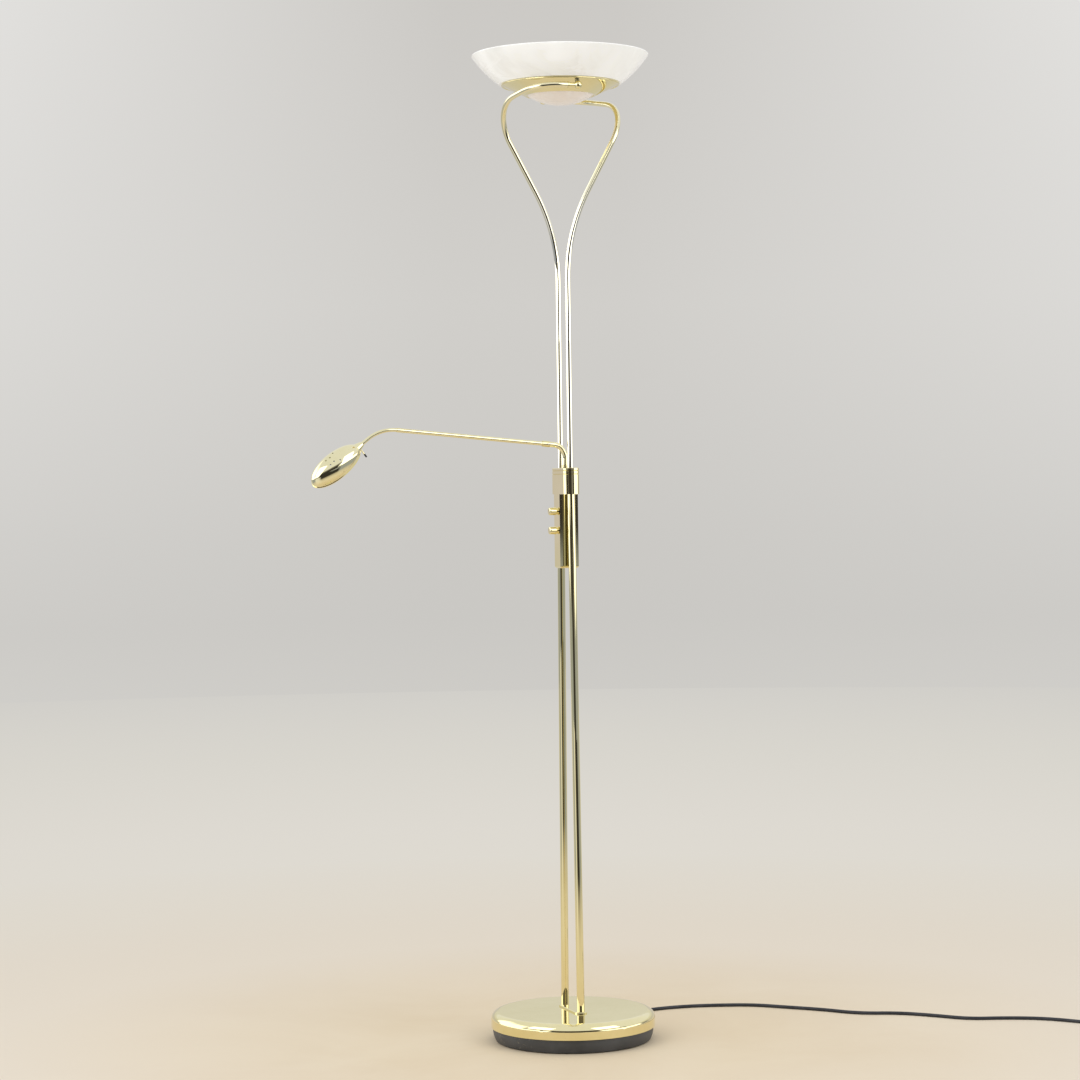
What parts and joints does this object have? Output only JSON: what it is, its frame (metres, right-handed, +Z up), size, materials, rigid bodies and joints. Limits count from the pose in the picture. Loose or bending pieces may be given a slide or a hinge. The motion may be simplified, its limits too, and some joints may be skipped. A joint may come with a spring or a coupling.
{
  "type": "torchiere floor lamp with reading light",
  "caption": "Tall brass torchiere floor lamp with a white glass uplight bowl on bent rods and a swinging reading arm.",
  "frame": {"origin": "centre of the base on the floor", "axes": "+Z up, the column tubes stand apart along Y, the reading arm points to -X at rest"},
  "size_m": [1.5293, 0.5364, 1.801],
  "materials": {
    "brass_column": "polished pale brass",
    "brass_base": "polished pale brass",
    "brass_rod": "polished pale brass, silvery",
    "brass_turned": "polished brass",
    "brass_head": "polished brass",
    "iron": "black paint, chipped at the edge",
    "felt": "matt pad",
    "steel": "zinc plated",
    "glass_bowl": "opal white, veined",
    "glass_dish": "opal white",
    "glass_clear": "clear",
    "quartz": "clear quartz",
    "ceramic": "white steatite",
    "aluminium": "bright, dimpled",
    "board": "circuit board",
    "potentiometer": "zinc can",
    "cord": "black PVC",
    "plug": "black PVC, moulded",
    "pins": "nickel plated",
    "lead": "heat-proof sleeve",
    "black_tip": "black cap"
  },
  "bodies": {
    "stand": {"felt_pad": "felt", "base_weight": "iron", "base_cover": "brass_base", "foot_plate": "brass_base", "foot_nipples": "steel", "foot_washers": "steel", "foot_nuts": "steel", "column_tube_near": "brass_column", "column_tube_far": "brass_column", "collar": "brass_column", "grub_screws": "steel", "housing": "brass_column", "housing_screws": "brass_turned", "dimmer_board": "board", "dimmers": "potentiometer", "bezel_nuts": "brass_turned", "yoke_rod_far": "brass_rod", "yoke_rod_near": "brass_rod", "rod_ends": "brass_turned", "pivot_balls": "brass_turned", "bowl_nipples": "steel", "bowl_nuts": "steel", "bowl_pan": "brass_turned", "bowl_glass": "glass_bowl", "lower_dish": "glass_dish", "lamp_bracket": "steel", "lamp_holder_far": "ceramic", "lamp_holder_near": "ceramic", "halogen_lamp": "quartz", "uplight_reflector": "aluminium", "reflector_screws": "steel", "guard_glass": "glass_clear", "arm_bushing": "brass_turned", "lead_mains": "cord", "lead_uplight": "lead", "strain_relief": "cord", "cord_floor": "cord", "cord_coil": "cord", "plug_body": "plug", "plug_pins": "pins"},
    "arm": {"arm_elbow": "brass_head", "arm_sleeve": "brass_turned", "arm_screws": "steel", "arm_tube": "brass_head", "arm_stop": "brass_turned", "arm_ring": "steel", "lead_arm": "lead"},
    "neck": {"neck_tube": "brass_head", "neck_nut": "steel", "lead_neck": "lead"},
    "head": {"head_shell": "brass_head", "head_handle": "brass_turned", "handle_tip": "black_tip", "head_reflector": "aluminium", "head_socket": "ceramic", "head_bulb": "quartz"},
    "knob_upper": {"knob_upper": "brass_turned", "dimmer_shaft_upper": "steel"},
    "knob_lower": {"knob_lower": "brass_turned", "dimmer_shaft_lower": "steel"}
  },
  "joints": [
    {"name": "arm_swing", "type": "hinge", "parent": "stand", "child": "arm", "pos_m": [0, 0, 1.05], "axis": [0, 0, 1], "range_deg": [-60, 60]},
    {"name": "neck_turn", "type": "hinge", "parent": "arm", "child": "neck", "pos_m": [-0.32256, 0, 1.11919], "axis": [-0.9956, 0, 0.0941], "range_deg": [-90, 90]},
    {"name": "head_turn", "type": "hinge", "parent": "neck", "child": "head", "pos_m": [-0.39463, 0, 1.08926], "axis": [-0.788, 0, -0.6157], "range_deg": [-100, 100]},
    {"name": "knob_upper_turn", "type": "hinge", "parent": "stand", "child": "knob_upper", "pos_m": [-0.024, 0, 0.969], "axis": [-1, 0, 0], "range_deg": [0, 270]},
    {"name": "knob_lower_turn", "type": "hinge", "parent": "stand", "child": "knob_lower", "pos_m": [-0.024, 0, 0.934], "axis": [-1, 0, 0], "range_deg": [0, 270]}
  ]
}
